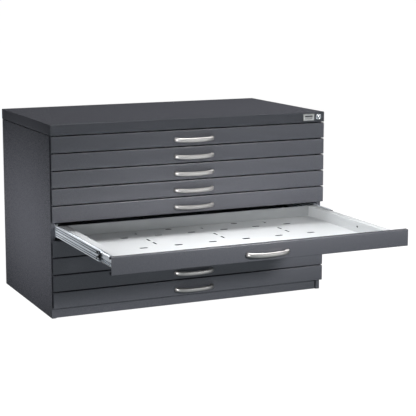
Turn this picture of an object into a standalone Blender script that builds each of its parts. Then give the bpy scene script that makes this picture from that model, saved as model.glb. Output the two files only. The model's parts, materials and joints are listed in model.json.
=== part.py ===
"""Flat file cabinet: a sheet-steel plan chest with ten shallow drawers on telescopic slides.

Metres, +Z up. The fronts face -Y and the floor is z = 0. The origin is the centre of the
closed cabinet's footprint on the floor. Drawer 6, counted from the top, stands pulled out.
"""
import math

import bmesh
import bpy
from mathutils import Matrix, Vector

# Overall size of the closed cabinet
WIDTH = 1.190
DEPTH = 0.672
HEIGHT = 0.760

# Drawers, numbered from the top
DRAWERS = 10
OPEN_DRAWER = 6
PITCH = 0.0675
FRONT_GAP = 0.0039
PLINTH_HEIGHT = 0.0412
TRAVEL = 0.645

# Sheet steel, the space kept between pieces that touch, running clearance, and how far
# sheets that are one piece reach into each other
SHEET = 0.0010
GAP = 0.0003
CLEARANCE = 0.0010
OVERLAP = 0.0004
FOLD_RADIUS = 0.0020

# Front to back
FACE_Y = -DEPTH / 2
RECESS = 0.023
BODY_FRONT = FACE_Y + RECESS
BODY_BACK = DEPTH / 2 - SHEET - GAP
FRONT_DEPTH = 0.020

# Side to side
BODY_HALF = WIDTH / 2 - SHEET - GAP
BACK_HALF = BODY_HALF - FOLD_RADIUS
POST_WIDTH = 0.017
OPENING_HALF = BODY_HALF - POST_WIDTH
FRONT_SETBACK = 0.0014
FRONT_HALF = WIDTH / 2 - FRONT_SETBACK

# Cover
COVER_BOTTOM = PLINTH_HEIGHT + DRAWERS * PITCH + FRONT_GAP / 2
BODY_TOP = HEIGHT - FOLD_RADIUS - SHEET
SHADOW_GAP = 0.0032

# Corner posts and the base pan
POST_RETURN = 0.020
REAR_FLANGE = 0.0209
BASE_SHEET = 0.0012
BASE_HALF = OPENING_HALF - CLEARANCE
PLINTH_RECESS = 0.0075
BASE_SETBACK = 0.0028
BASE_REAR = BODY_BACK - SHEET - BASE_SETBACK
BASE_UPFOLD = 0.020
PLINTH_GAP = 0.0062
BASE_TOP = PLINTH_HEIGHT - PLINTH_GAP

# Tray, with heights counted from the bottom of its cell
TRAY_SHEET = 0.0008
TRAY_HALF = 0.5312
TRAY_FLOOR = 0.0105
TRAY_RIM = 0.0545
TRAY_BACK = 0.322
TRAY_FRONT = FACE_Y + FRONT_DEPTH + GAP
FRONT_PLATE_TOP = 0.0640
FRONT_PLATE_BOTTOM = 0.0085
RIM_HALF = 0.5612
LIP_BOTTOM = 0.0080

# Telescopic slides: a channel on the cabinet, a floating one, and one on the tray
SLIDE_CENTRE = PITCH / 2
FIXED_HEIGHT = 0.050
FIXED_SHEET = 0.0012
FIXED_WIDTH = 0.0125
FIXED_OUT = OPENING_HALF - CLEARANCE
FIXED_IN = FIXED_OUT - FIXED_WIDTH
FIXED_START = BODY_FRONT + 2 * CLEARANCE
FIXED_END = 0.325
FLOAT_HEIGHT = 0.042
FLOAT_SHEET = 0.0012
FLOAT_WIDTH = 0.0092
FLOAT_OUT = FIXED_OUT - FIXED_SHEET - GAP
FLOAT_IN = FLOAT_OUT - FLOAT_WIDTH
FLOAT_START = FIXED_START + 2 * CLEARANCE
FLOAT_END = 0.318
MEMBER_HEIGHT = 0.031
MEMBER_SHEET = 0.0012
MEMBER_WIDTH = 0.0093
MEMBER_OUT = RIM_HALF + MEMBER_WIDTH
FLOAT_RATIO = {"left": 0.76, "right": 0.20}

# Uprights that carry the fixed channels, by the y of their middle
UPRIGHT_WIDTH = 0.030
UPRIGHT_YS = (-0.267, 0.020, 0.305)
UPRIGHT_BITE = 0.0007
UPRIGHT_IN = FIXED_OUT - UPRIGHT_BITE
UPRIGHT_OUT = BODY_HALF - SHEET - GAP

# Bow handle
HANDLE_SPAN = 0.175
HANDLE_REACH = 0.032
HANDLE_RADIUS = 0.0082
HANDLE_DROOP = 0.0070
HANDLE_Z = PITCH / 2 - 0.0030
HANDLE_FOOT = 0.0040
BOW_STEPS = 10
BOW_SQUARENESS = 2.6

# Lock and label holder on the cover
LOCK_X = 0.567
FITTING_Z = (COVER_BOTTOM + HEIGHT) / 2
ROSETTE_RADIUS = 0.0125
ROSETTE_HEIGHT = 0.0035
ROSETTE_EDGE = 0.0012
BARREL_RADIUS = 0.0090
BARREL_DEPTH = 0.022
PLUG_RADIUS = 0.0062
PLUG_TAIL = 0.0040
KEYWAY_SIZE = (0.0016, 0.0080)
KEYWAY_DEPTH = 0.0040
LABEL_X = 0.5205
LABEL_SIZE = (0.053, 0.0025, 0.029)
LABEL_BORDER = 0.0028
LABEL_RECESS = 0.0010

# Cutting tools reach past what they cut by this much; points closer than the weld are one
PASS = 0.0020
WELD = 0.00001

GRAPHITE = ("graphite_paint", (0.130, 0.132, 0.140), 0.55, 0.0)
LIGHT_GREY = ("light_grey_paint", (0.72, 0.73, 0.74), 0.45, 0.0)
ZINC = ("zinc_plate", (0.62, 0.65, 0.68), 0.35, 1.0)
SATIN = ("satin_nickel", (0.70, 0.70, 0.71), 0.30, 1.0)
CHROME = ("chrome", (0.80, 0.81, 0.83), 0.12, 1.0)


def clear_scene():
    for item in list(bpy.data.objects):
        bpy.data.objects.remove(item, do_unlink=True)


def new_collection(name):
    group = bpy.data.collections.new(name)
    bpy.context.scene.collection.children.link(group)
    return group


def give_material(item, finish):
    """Each object has a material of its own."""
    name, colour, roughness, metallic = finish
    material = bpy.data.materials.new(name + "_" + item.name)
    material.use_nodes = True
    shader = material.node_tree.nodes["Principled BSDF"]
    shader.inputs["Base Color"].default_value = (*colour, 1.0)
    shader.inputs["Roughness"].default_value = roughness
    shader.inputs["Metallic"].default_value = metallic
    item.data.materials.clear()
    item.data.materials.append(material)


def finish_mesh(name, mesh_tool, group):
    """Put a bmesh into a new object, with its faces turned outward."""
    bmesh.ops.recalc_face_normals(mesh_tool, faces=mesh_tool.faces)
    mesh = bpy.data.meshes.new(name)
    mesh_tool.to_mesh(mesh)
    mesh_tool.free()
    item = bpy.data.objects.new(name, mesh)
    group.objects.link(item)
    return item


def add_box(mesh_tool, low, high):
    """Add a box between two corners."""
    low, high = Vector(low), Vector(high)
    made = bmesh.ops.create_cube(mesh_tool, size=1.0)
    bmesh.ops.scale(mesh_tool, vec=high - low, verts=made["verts"])
    bmesh.ops.translate(mesh_tool, vec=(low + high) / 2, verts=made["verts"])
    return made["verts"]


def open_box(name, low, high, sides, group):
    """A box without the faces that look along the given directions."""
    mesh_tool = bmesh.new()
    add_box(mesh_tool, low, high)
    mesh_tool.normal_update()
    ways = [Vector(side) for side in sides]
    lids = [face for face in mesh_tool.faces if max(face.normal.dot(way) for way in ways) > 0.9]
    bmesh.ops.delete(mesh_tool, geom=lids, context="FACES_ONLY")
    mesh = bpy.data.meshes.new(name)
    mesh_tool.to_mesh(mesh)
    mesh_tool.free()
    item = bpy.data.objects.new(name, mesh)
    group.objects.link(item)
    return item


def thicken(item, thickness, offset=-1.0):
    """Give an open surface the thickness of its sheet."""
    shell = item.modifiers.new("sheet", "SOLIDIFY")
    shell.thickness = thickness
    shell.offset = offset
    shell.use_even_offset = True


def round_edges(item, width, segments=1):
    bevel = item.modifiers.new("fold", "BEVEL")
    bevel.width = width
    bevel.segments = segments
    bevel.limit_method = "ANGLE"


def folded_sheet(name, profile, run, thickness, group):
    """Sheet folded along a profile of 3-D points, extruded by run, centred on the profile."""
    mesh_tool = bmesh.new()
    corners = [mesh_tool.verts.new(point) for point in profile]
    edges = [mesh_tool.edges.new(pair) for pair in zip(corners, corners[1:])]
    grown = bmesh.ops.extrude_edge_only(mesh_tool, edges=edges)
    moved = [part for part in grown["geom"] if isinstance(part, bmesh.types.BMVert)]
    bmesh.ops.translate(mesh_tool, vec=run, verts=moved)
    item = finish_mesh(name, mesh_tool, group)
    thicken(item, thickness, offset=0.0)
    return item


def curve_to_mesh(curve_object, group):
    """Replace a curve by its own closed mesh in the same place."""
    bpy.context.view_layer.update()
    depsgraph = bpy.context.evaluated_depsgraph_get()
    mesh = bpy.data.meshes.new_from_object(curve_object.evaluated_get(depsgraph))
    mesh_tool = bmesh.new()
    mesh_tool.from_mesh(mesh)
    bmesh.ops.remove_doubles(mesh_tool, verts=mesh_tool.verts, dist=WELD)
    bmesh.ops.recalc_face_normals(mesh_tool, faces=mesh_tool.faces)
    mesh_tool.to_mesh(mesh)
    mesh_tool.free()
    name, place = curve_object.name, curve_object.matrix_world.copy()
    bpy.data.objects.remove(curve_object, do_unlink=True)
    item = bpy.data.objects.new(name, mesh)
    item.matrix_world = place
    group.objects.link(item)
    return item


def bar_of_outline(name, outline, length, place, group):
    """A flat closed outline extruded to length on both sides of its plane, then placed."""
    curve = bpy.data.curves.new(name, "CURVE")
    curve.dimensions = "2D"
    curve.fill_mode = "BOTH"
    curve.extrude = length / 2
    spline = curve.splines.new("POLY")
    spline.points.add(len(outline) - 1)
    for point, (across, up) in zip(spline.points, outline):
        point.co = (across, up, 0.0, 1.0)
    spline.use_cyclic_u = True
    item = bpy.data.objects.new(name, curve)
    item.matrix_world = place
    group.objects.link(item)
    return curve_to_mesh(item, group)


def along_y(start, end, height):
    """Place for an outline in X and Z that runs from start to end along Y."""
    middle = Matrix.Translation((0.0, (start + end) / 2, height))
    return middle @ Matrix.Rotation(math.radians(90.0), 4, "X")


def channel_outline(back, lips, half_height, thickness):
    """A C section whose web is at x = back and whose flanges reach x = lips."""
    inner = back + math.copysign(thickness, lips - back)
    return [
        (back, -half_height),
        (lips, -half_height),
        (lips, -half_height + thickness),
        (inner, -half_height + thickness),
        (inner, half_height - thickness),
        (lips, half_height - thickness),
        (lips, half_height),
        (back, half_height),
    ]


def cylinder_along_y(mesh_tool, radius, start, end, x, z, sides):
    """Add a round bar with its axis along Y."""
    turn = Matrix.Rotation(math.radians(90.0), 4, "X")
    place = Matrix.Translation((x, (start + end) / 2, z)) @ turn
    bmesh.ops.create_cone(
        mesh_tool, cap_ends=True, segments=sides, radius1=radius, radius2=radius,
        depth=end - start, matrix=place)


def boolean(item, tool, operation):
    """Cut or join with a tool object, which is kept out of sight."""
    step = item.modifiers.new(tool.name, "BOOLEAN")
    step.operation = operation
    step.solver = "EXACT"
    step.object = tool
    tool.hide_render = True
    tool.display_type = "WIRE"


def smooth(item, degrees=35.0):
    item.data.shade_smooth()
    item.data.set_sharp_from_angle(angle=math.radians(degrees))


def mirrored(points, sign):
    return [(sign * point[0], *point[1:]) for point in points]


def cell_bottom(number):
    return PLINTH_HEIGHT + (DRAWERS - number) * PITCH


# Cabinet shell

def side_panel(side, sign, group, tools):
    """Side wall with a front corner post and a rear flange folded from the same sheet.

    A slit through the wall just under the cover is the shadow gap between the two.
    """
    wall = BODY_HALF - SHEET / 2
    post_face = BODY_FRONT + SHEET / 2
    post_inner = OPENING_HALF + SHEET / 2
    rear = BODY_BACK - SHEET - GAP - SHEET / 2
    profile = [
        (wall - REAR_FLANGE, rear, 0.0),
        (wall, rear, 0.0),
        (wall, post_face, 0.0),
        (post_inner, post_face, 0.0),
        (post_inner, BODY_FRONT + POST_RETURN, 0.0),
    ]
    run = (0.0, 0.0, BODY_TOP)
    item = folded_sheet("side_panel_" + side, mirrored(profile, sign), run, SHEET, group)

    mesh_tool = bmesh.new()
    slit_low = (sign * (wall - SHEET), BODY_FRONT - PASS, COVER_BOTTOM - SHADOW_GAP)
    slit_high = (sign * (wall + SHEET), BODY_BACK, COVER_BOTTOM)
    add_box(mesh_tool, slit_low, slit_high)
    boolean(item, finish_mesh("slit_" + side, mesh_tool, tools), "DIFFERENCE")
    give_material(item, GRAPHITE)


def back_panel(group):
    mesh_tool = bmesh.new()
    low = (-BACK_HALF, BODY_BACK - SHEET, 0.0)
    add_box(mesh_tool, low, (BACK_HALF, BODY_BACK, BODY_TOP))
    item = finish_mesh("back_panel", mesh_tool, group)
    give_material(item, GRAPHITE)


def base_pan(group):
    """Bottom sheet folded up at the back and, as the plinth, at the front."""
    front = BODY_FRONT + PLINTH_RECESS + BASE_SHEET / 2
    rear = BASE_REAR - BASE_SHEET / 2
    floor = BASE_SHEET / 2
    top = BASE_TOP - BASE_SHEET / 2
    profile = [
        (-BASE_HALF, rear, BASE_UPFOLD),
        (-BASE_HALF, rear, floor),
        (-BASE_HALF, front, floor),
        (-BASE_HALF, front, top),
        (-BASE_HALF, front + BASE_UPFOLD, top),
    ]
    item = folded_sheet("base_pan", profile, (2 * BASE_HALF, 0.0, 0.0), BASE_SHEET, group)
    give_material(item, GRAPHITE)


def top_cover(group, tools):
    """Lid with skirts all round, a return flange behind its front and a hole for the lock."""
    low = (-WIDTH / 2, FACE_Y, COVER_BOTTOM)
    high = (WIDTH / 2, DEPTH / 2, HEIGHT)
    item = open_box("top_cover", low, high, [(0, 0, -1)], group)
    round_edges(item, FOLD_RADIUS, segments=2)
    thicken(item, SHEET)

    mesh_tool = bmesh.new()
    flange_low = (-BODY_HALF, FACE_Y + SHEET / 2, COVER_BOTTOM)
    flange_high = (BODY_HALF, FACE_Y + FRONT_DEPTH, COVER_BOTTOM + SHEET)
    add_box(mesh_tool, flange_low, flange_high)
    boolean(item, finish_mesh("cover_return", mesh_tool, tools), "UNION")

    mesh_tool = bmesh.new()
    hole_ends = (FACE_Y - PASS, FACE_Y + SHEET + PASS)
    cylinder_along_y(mesh_tool, BARREL_RADIUS + GAP, *hole_ends, LOCK_X, FITTING_Z, 32)
    boolean(item, finish_mesh("lock_hole", mesh_tool, tools), "DIFFERENCE")
    give_material(item, GRAPHITE)


def upright_outline(sign, y):
    """A U section, open towards the side wall, drawn in X and Y."""
    low, high = y - UPRIGHT_WIDTH / 2, y + UPRIGHT_WIDTH / 2
    web = UPRIGHT_IN + FIXED_SHEET
    outline = [
        (UPRIGHT_IN, low),
        (UPRIGHT_OUT, low),
        (UPRIGHT_OUT, low + FIXED_SHEET),
        (web, low + FIXED_SHEET),
        (web, high - FIXED_SHEET),
        (UPRIGHT_OUT, high - FIXED_SHEET),
        (UPRIGHT_OUT, high),
        (UPRIGHT_IN, high),
    ]
    return mirrored(outline, sign)


def rail_frame(side, sign, group, tools):
    """Three uprights that carry the fixed channel of every slide on one side."""
    low = BASE_SHEET + GAP
    height = COVER_BOTTOM - low
    upright_place = Matrix.Translation((0.0, 0.0, low + height / 2))
    uprights = [
        bar_of_outline("upright", upright_outline(sign, y), height, upright_place, tools)
        for y in UPRIGHT_YS
    ]
    channels = []
    for number in range(1, DRAWERS + 1):
        outline = channel_outline(
            sign * FIXED_OUT, sign * FIXED_IN, FIXED_HEIGHT / 2, FIXED_SHEET)
        place = along_y(FIXED_START, FIXED_END, cell_bottom(number) + SLIDE_CENTRE)
        length = FIXED_END - FIXED_START
        channels.append(bar_of_outline("fixed_channel", outline, length, place, tools))
    item = merged("rail_frame_" + side, uprights, group)
    boolean(item, merged("channels_" + side, channels, tools), "UNION")
    give_material(item, ZINC)


def merged(name, items, group):
    """Gather the meshes of several objects, in their places, into one new object."""
    mesh_tool = bmesh.new()
    for item in items:
        start = len(mesh_tool.verts)
        mesh_tool.from_mesh(item.data)
        mesh_tool.verts.ensure_lookup_table()
        bmesh.ops.transform(
            mesh_tool, matrix=item.matrix_world, verts=mesh_tool.verts[start:])
        bpy.data.objects.remove(item, do_unlink=True)
    return finish_mesh(name, mesh_tool, group)


# Drawers

def tray_rail_outline(sign):
    """Rim flange, lip and slide member of one tray side, drawn in X and Z."""
    high = SLIDE_CENTRE + MEMBER_HEIGHT / 2
    low = SLIDE_CENTRE - MEMBER_HEIGHT / 2
    lip = RIM_HALF - SHEET
    web = RIM_HALF + SHEET
    inner = TRAY_HALF - TRAY_SHEET - OVERLAP
    outline = [
        (inner, TRAY_RIM),
        (RIM_HALF, TRAY_RIM),
        (RIM_HALF, high),
        (MEMBER_OUT, high),
        (MEMBER_OUT, high - MEMBER_SHEET),
        (web, high - MEMBER_SHEET),
        (web, low + MEMBER_SHEET),
        (MEMBER_OUT, low + MEMBER_SHEET),
        (MEMBER_OUT, low),
        (RIM_HALF, low),
        (RIM_HALF, LIP_BOTTOM),
        (lip, LIP_BOTTOM),
        (lip, TRAY_RIM - TRAY_SHEET),
        (inner, TRAY_RIM - TRAY_SHEET),
    ]
    return mirrored(outline, sign)


def tray_pattern(group, tools):
    """Tray of a drawer whose cell bottom is z = 0: a pan, two side rails and a front plate."""
    low = (-TRAY_HALF, TRAY_FRONT + TRAY_SHEET / 2, TRAY_FLOOR)
    high = (TRAY_HALF, TRAY_BACK, TRAY_RIM - OVERLAP)
    item = open_box("tray_pattern", low, high, [(0, 0, 1)], group)
    thicken(item, TRAY_SHEET)

    start, end = TRAY_FRONT + SHEET / 2, TRAY_BACK - SHEET / 2
    rails = [
        bar_of_outline("tray_rail", tray_rail_outline(sign), end - start,
                       along_y(start, end, 0.0), tools)
        for sign in (-1, 1)
    ]
    boolean(item, merged("tray_rails", rails, tools), "UNION")

    mesh_tool = bmesh.new()
    plate_low = (-RIM_HALF + OVERLAP, TRAY_FRONT, FRONT_PLATE_BOTTOM)
    plate_high = (RIM_HALF - OVERLAP, TRAY_FRONT + SHEET, FRONT_PLATE_TOP)
    add_box(mesh_tool, plate_low, plate_high)
    boolean(item, finish_mesh("front_plate", mesh_tool, tools), "UNION")
    return item


def front_pattern(group):
    """Front of a drawer whose cell bottom is z = 0: a channel, open at its back and ends."""
    low = (-FRONT_HALF, FACE_Y, FRONT_GAP / 2)
    high = (FRONT_HALF, FACE_Y + FRONT_DEPTH, PITCH - FRONT_GAP / 2)
    open_sides = [(0, 1, 0), (-1, 0, 0), (1, 0, 0)]
    item = open_box("front_pattern", low, high, open_sides, group)
    round_edges(item, FOLD_RADIUS, segments=2)
    thicken(item, SHEET)
    return item


def bow_path():
    """Middle line of the bow between two short feet: squarish from above, drooping in the middle."""
    half = HANDLE_SPAN / 2 - HANDLE_RADIUS
    reach = HANDLE_REACH - HANDLE_RADIUS - HANDLE_FOOT
    power = 2 / BOW_SQUARENESS
    points = [(half, -GAP, 0.0)]
    for step in range(BOW_STEPS + 1):
        angle = math.pi * step / BOW_STEPS
        along, out = math.cos(angle), max(math.sin(angle), 0.0)
        across = math.copysign(abs(along) ** power, along)
        droop = HANDLE_DROOP * (1 - across ** 2)
        points.append((half * across, -HANDLE_FOOT - reach * out ** power, -droop))
    points.append((-half, -GAP, 0.0))
    return points


def handle_pattern(group):
    """Bow handle of a drawer whose cell bottom is z = 0."""
    path = bow_path()
    curve = bpy.data.curves.new("handle_pattern", "CURVE")
    curve.dimensions = "3D"
    curve.bevel_depth = HANDLE_RADIUS
    curve.bevel_resolution = 2
    curve.use_fill_caps = True
    spline = curve.splines.new("POLY")
    spline.points.add(len(path) - 1)
    for point, (across, out, up) in zip(spline.points, path):
        point.co = (across, FACE_Y + out, HANDLE_Z + up, 1.0)
    item = bpy.data.objects.new("handle_pattern", curve)
    group.objects.link(item)
    item = curve_to_mesh(item, group)
    smooth(item, degrees=50.0)
    return item


def float_pattern(side, sign, group):
    """Floating slide channel of a closed drawer whose cell bottom is z = 0."""
    outline = channel_outline(
        sign * FLOAT_OUT, sign * FLOAT_IN, FLOAT_HEIGHT / 2, FLOAT_SHEET)
    place = along_y(FLOAT_START, FLOAT_END, SLIDE_CENTRE)
    name = "float_pattern_" + side
    return bar_of_outline(name, outline, FLOAT_END - FLOAT_START, place, group)


def baked(pattern):
    """The pattern's finished mesh, with its modifiers and its own place worked in."""
    bpy.context.view_layer.update()
    depsgraph = bpy.context.evaluated_depsgraph_get()
    mesh = bpy.data.meshes.new_from_object(pattern.evaluated_get(depsgraph))
    mesh.transform(pattern.matrix_world)
    bpy.data.objects.remove(pattern, do_unlink=True)
    return mesh


def place_copy(name, mesh, number, pulled, finish, group):
    """One drawer's copy of a pattern, raised to its cell and pulled out towards -Y."""
    item = bpy.data.objects.new(name, mesh.copy())
    item.location = (0.0, -pulled, cell_bottom(number))
    group.objects.link(item)
    give_material(item, finish)


def drawers(group, tools):
    tray = baked(tray_pattern(group, tools))
    front = baked(front_pattern(group))
    handle = baked(handle_pattern(group))
    floats = {
        side: baked(float_pattern(side, sign, group))
        for side, sign in (("left", -1), ("right", 1))
    }
    for number in range(1, DRAWERS + 1):
        pulled = TRAVEL if number == OPEN_DRAWER else 0.0
        label = f"{number:02d}"
        place_copy("drawer_tray_" + label, tray, number, pulled, LIGHT_GREY, group)
        place_copy("drawer_front_" + label, front, number, pulled, GRAPHITE, group)
        place_copy("handle_" + label, handle, number, pulled, SATIN, group)
        for side, mesh in floats.items():
            drawn = pulled * FLOAT_RATIO[side]
            place_copy(f"slide_{side}_{label}", mesh, number, drawn, ZINC, group)


# Fittings on the cover

def lock(group, tools):
    """Cylinder lock: a housing through the cover, and the plug that turns inside it."""
    face = FACE_Y - GAP
    mesh_tool = bmesh.new()
    cylinder_along_y(
        mesh_tool, ROSETTE_RADIUS, face - ROSETTE_HEIGHT, face, LOCK_X, FITTING_Z, 32)
    housing = finish_mesh("lock_housing", mesh_tool, group)
    round_edges(housing, ROSETTE_EDGE, segments=2)

    mesh_tool = bmesh.new()
    barrel_ends = (face - ROSETTE_HEIGHT / 2, face + BARREL_DEPTH)
    cylinder_along_y(mesh_tool, BARREL_RADIUS, *barrel_ends, LOCK_X, FITTING_Z, 32)
    boolean(housing, finish_mesh("lock_barrel", mesh_tool, tools), "UNION")

    mesh_tool = bmesh.new()
    bore_ends = (face - ROSETTE_HEIGHT - PASS, face + BARREL_DEPTH + PASS)
    cylinder_along_y(mesh_tool, PLUG_RADIUS + GAP, *bore_ends, LOCK_X, FITTING_Z, 32)
    boolean(housing, finish_mesh("lock_bore", mesh_tool, tools), "DIFFERENCE")
    give_material(housing, CHROME)

    mesh_tool = bmesh.new()
    plug_ends = (-ROSETTE_HEIGHT - GAP, BARREL_DEPTH + PLUG_TAIL)
    cylinder_along_y(mesh_tool, PLUG_RADIUS, *plug_ends, 0.0, 0.0, 24)
    plug = finish_mesh("lock_plug", mesh_tool, group)
    plug.location = (LOCK_X, face, FITTING_Z)

    mesh_tool = bmesh.new()
    width, height = KEYWAY_SIZE
    slot_low = (LOCK_X - width / 2, face - ROSETTE_HEIGHT - PASS, FITTING_Z - height / 2)
    slot_high = (LOCK_X + width / 2, face + KEYWAY_DEPTH, FITTING_Z + height / 2)
    add_box(mesh_tool, slot_low, slot_high)
    boolean(plug, finish_mesh("keyway", mesh_tool, tools), "DIFFERENCE")
    give_material(plug, CHROME)


def label_holder(group, tools):
    """Blank plate with a raised border, on the front of the cover."""
    width, depth, height = LABEL_SIZE
    back = FACE_Y - GAP
    low = Vector((LABEL_X - width / 2, back - depth, FITTING_Z - height / 2))
    high = Vector((LABEL_X + width / 2, back, FITTING_Z + height / 2))
    mesh_tool = bmesh.new()
    add_box(mesh_tool, low, high)
    item = finish_mesh("label_holder", mesh_tool, group)

    border = Vector((LABEL_BORDER, 0.0, LABEL_BORDER))
    mesh_tool = bmesh.new()
    recess_low = low + border - Vector((0.0, PASS, 0.0))
    recess_high = high - border - Vector((0.0, depth - LABEL_RECESS, 0.0))
    add_box(mesh_tool, recess_low, recess_high)
    boolean(item, finish_mesh("label_recess", mesh_tool, tools), "DIFFERENCE")
    give_material(item, SATIN)


def main():
    clear_scene()
    group = new_collection("flat_file_cabinet")
    tools = new_collection("cutters")
    for side, sign in (("left", -1), ("right", 1)):
        side_panel(side, sign, group, tools)
        rail_frame(side, sign, group, tools)
    back_panel(group)
    base_pan(group)
    top_cover(group, tools)
    drawers(group, tools)
    lock(group, tools)
    label_holder(group, tools)


main()
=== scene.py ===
"""Looks of the flat file cabinet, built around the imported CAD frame.

Metres, +Z up, fronts facing -Y. Each drawer's pieces are modelled once, where drawer 1 is, and
copied to the other drawers by the distance between their CAD nodes.
"""

import json
import math

import bmesh
import bpy
from mathutils import Matrix, Vector

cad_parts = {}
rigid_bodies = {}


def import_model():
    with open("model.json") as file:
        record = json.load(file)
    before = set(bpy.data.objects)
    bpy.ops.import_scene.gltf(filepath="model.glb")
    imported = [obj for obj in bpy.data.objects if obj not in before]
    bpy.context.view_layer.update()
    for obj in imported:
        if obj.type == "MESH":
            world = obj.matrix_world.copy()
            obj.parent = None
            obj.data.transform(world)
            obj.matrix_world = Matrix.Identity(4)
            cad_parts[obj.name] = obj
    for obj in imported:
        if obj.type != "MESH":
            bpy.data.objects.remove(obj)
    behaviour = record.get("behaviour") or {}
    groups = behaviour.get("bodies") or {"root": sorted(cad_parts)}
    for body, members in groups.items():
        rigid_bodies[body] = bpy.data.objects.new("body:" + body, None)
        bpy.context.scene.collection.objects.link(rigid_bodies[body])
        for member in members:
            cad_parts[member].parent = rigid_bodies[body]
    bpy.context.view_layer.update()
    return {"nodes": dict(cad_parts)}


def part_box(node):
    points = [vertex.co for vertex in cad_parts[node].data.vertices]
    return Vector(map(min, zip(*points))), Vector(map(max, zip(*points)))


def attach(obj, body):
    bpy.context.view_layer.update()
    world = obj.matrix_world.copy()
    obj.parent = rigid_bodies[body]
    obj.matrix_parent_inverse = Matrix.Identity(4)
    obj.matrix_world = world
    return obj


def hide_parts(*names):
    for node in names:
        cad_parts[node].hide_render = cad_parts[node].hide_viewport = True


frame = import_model()

NODES = frame["nodes"]
DRAWERS = sum(name.startswith("drawer_tray_") for name in NODES)
LABELS = [f"{number:02d}" for number in range(1, DRAWERS + 1)]
SIDES = {"left": -1, "right": 1}


# ---------------------------------------------------------------- measures from the frame

def low(node):
    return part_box(node)[0]


FRONT_LOW, FRONT_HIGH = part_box("drawer_front_01")
TRAY_LOW, TRAY_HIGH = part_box("drawer_tray_01")
HANDLE_LOW, HANDLE_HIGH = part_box("handle_01")
FLOAT_LOW, FLOAT_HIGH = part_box("slide_right_01")
FACE_Y = FRONT_LOW.y
SLIDE_Z = (FLOAT_LOW.z + FLOAT_HIGH.z) / 2

# Sheet thicknesses, folds and the front's hem
FRONT_SHEET = 0.0010
TRAY_SHEET = 0.0008
SLIDE_SHEET = 0.0012
MEMBER_SHEET = 0.0010
FRONT_FOLD = 0.0022
TRAY_FOLD = 0.0022
SLIDE_FOLD = 0.0008
HEM = 0.010

# Tray section: x of its walls and lips; heights of its floor, its rim and the lips' ends
WALL_X = 0.5308
LIP_X = 0.5608
FLOOR_UP = 0.0025
RIM_UP = 0.0432
LIP_UP = 0.0002
FLOOR_Z = TRAY_LOW.z + FLOOR_UP + TRAY_SHEET / 2
RIM_Z = FLOOR_Z + RIM_UP
LIP_END_Z = TRAY_LOW.z + LIP_UP

# Tray length: how far the folded sheet starts and ends inside the CAD tray
TRAY_START = 0.0012
TRAY_END = 0.0010

# Tray ends: the front plate, and the rear wall and flange counted from the sheet's end and rim
PLATE_SHEET = 0.0010
REAR_WALL_Y = (-0.0026, -0.0018)
REAR_FLANGE_Y = (-0.0020, 0.0010)
REAR_FLANGE_Z = (-0.0006, 0.0002)
END_OVERLAP = 0.0002
END_BEVEL = 0.0002

# Divider slots in the tray floor, as (length, width): rows of slots along X at half columns,
# and slots along Y at whole columns
SLOT_COLUMN = 0.1412
SLOT_OFFSET = 0.012
SLOT_ALONG_X = (0.034, 0.0170)
SLOT_ALONG_Y = (0.036, 0.009)
ROWS_ALONG_X = (0.202, 0.002, -0.198)
ROWS_ALONG_Y = (0.267, 0.131, 0.067, -0.127, -0.263)
COLUMNS_ALONG_X = (-2.5, -1.5, -0.5, 0.5, 1.5, 2.5)
COLUMNS_ALONG_Y = (-2, 0, 2)
SLOT_CUT_DEPTH = 0.006
SLOT_END_STEPS = 6

# The two wider slots next to the rear wall, and the dark sheets in them, which are painted shade
BACK_ROW = 0.2935
BACK_SLOTS = (-0.1185, 0.1705)
BACK_SLOT = (0.0275, 0.0225)
SLOT_SHADE = (0.0270, 0.0220)
SLOT_SHADE_SHEET = 0.0006
SLOT_SHADE_DROP = 0.0001

# Hole in each side wall: how far along from the back, its height over the floor, its radius,
# how much longer it is than tall, and the dark disc behind it, which is painted shade seen through
# the hole
WALL_HOLE_DEPTH = 0.62
WALL_HOLE_HEIGHT = 0.023
WALL_HOLE_RADIUS = 0.0038
WALL_HOLE_STRETCH = 1.7
WALL_CUT_DEPTH = 0.01
HOLE_SHADE_PLAY = 0.0001
HOLE_SHADE_DEPTH = 0.003
HOLE_SHADE_BACK = 0.0016

# Slide sections: x of the channels' webs and lips, their half heights, how deep the lips turn
MEMBER_HALF = 0.0155
MEMBER_WEB_X = 0.5617
MEMBER_LIP_X = 0.5702
MEMBER_START = 0.0015
MEMBER_END = 0.001
FLOAT_LIP_X = FLOAT_LOW.x + 0.0004
FLOAT_WEB_X = FLOAT_HIGH.x - SLIDE_SHEET / 2
FLOAT_HALF = (FLOAT_HIGH.z - FLOAT_LOW.z) / 2
LIP_TURN = 0.0016

# Ball grooves along the webs: half width, depths, heights over the middle, and how far past them
# their painted shade reaches
GROOVE_HALF = 0.0018
GROOVE_SHADE_EDGE = 0.0004
MEMBER_GROOVES = (-0.0105, 0.0105)
MEMBER_GROOVE_DEPTH = 0.0018
FLOAT_GROOVES = (-0.0140, -0.0060, 0.0060, 0.0140)
FLOAT_GROOVE_DEPTH = 0.0020

# Access holes in the floating channel: y from its front end, radius, and how tall they are
FLOAT_HOLES = (
    (0.080, 0.0024, 2.0), (0.105, 0.0018, 1.6), (0.220, 0.0030, 1.0), (0.340, 0.0030, 1.0),
    (0.460, 0.0030, 1.0), (0.590, 0.0030, 1.0),
)
FLOAT_HOLE_Z = SLIDE_Z - 0.001
FLOAT_CUT_DEPTH = 0.012

# Latch at the floating channel's front end, in (y, z) from that end and the middle height;
# how thick it is and how far it stands out from the channel
LATCH_PATH = (
    (-0.012, 0.0165), (0.020, 0.0115), (-0.010, 0.0035), (0.010, -0.0050), (0.024, -0.0150),
)
LATCH_TONGUE = (-0.018, -0.0100)
LATCH_HALF = 0.0026
LATCH_THICK = 0.0022
LATCH_PROUD = 0.0001

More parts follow.
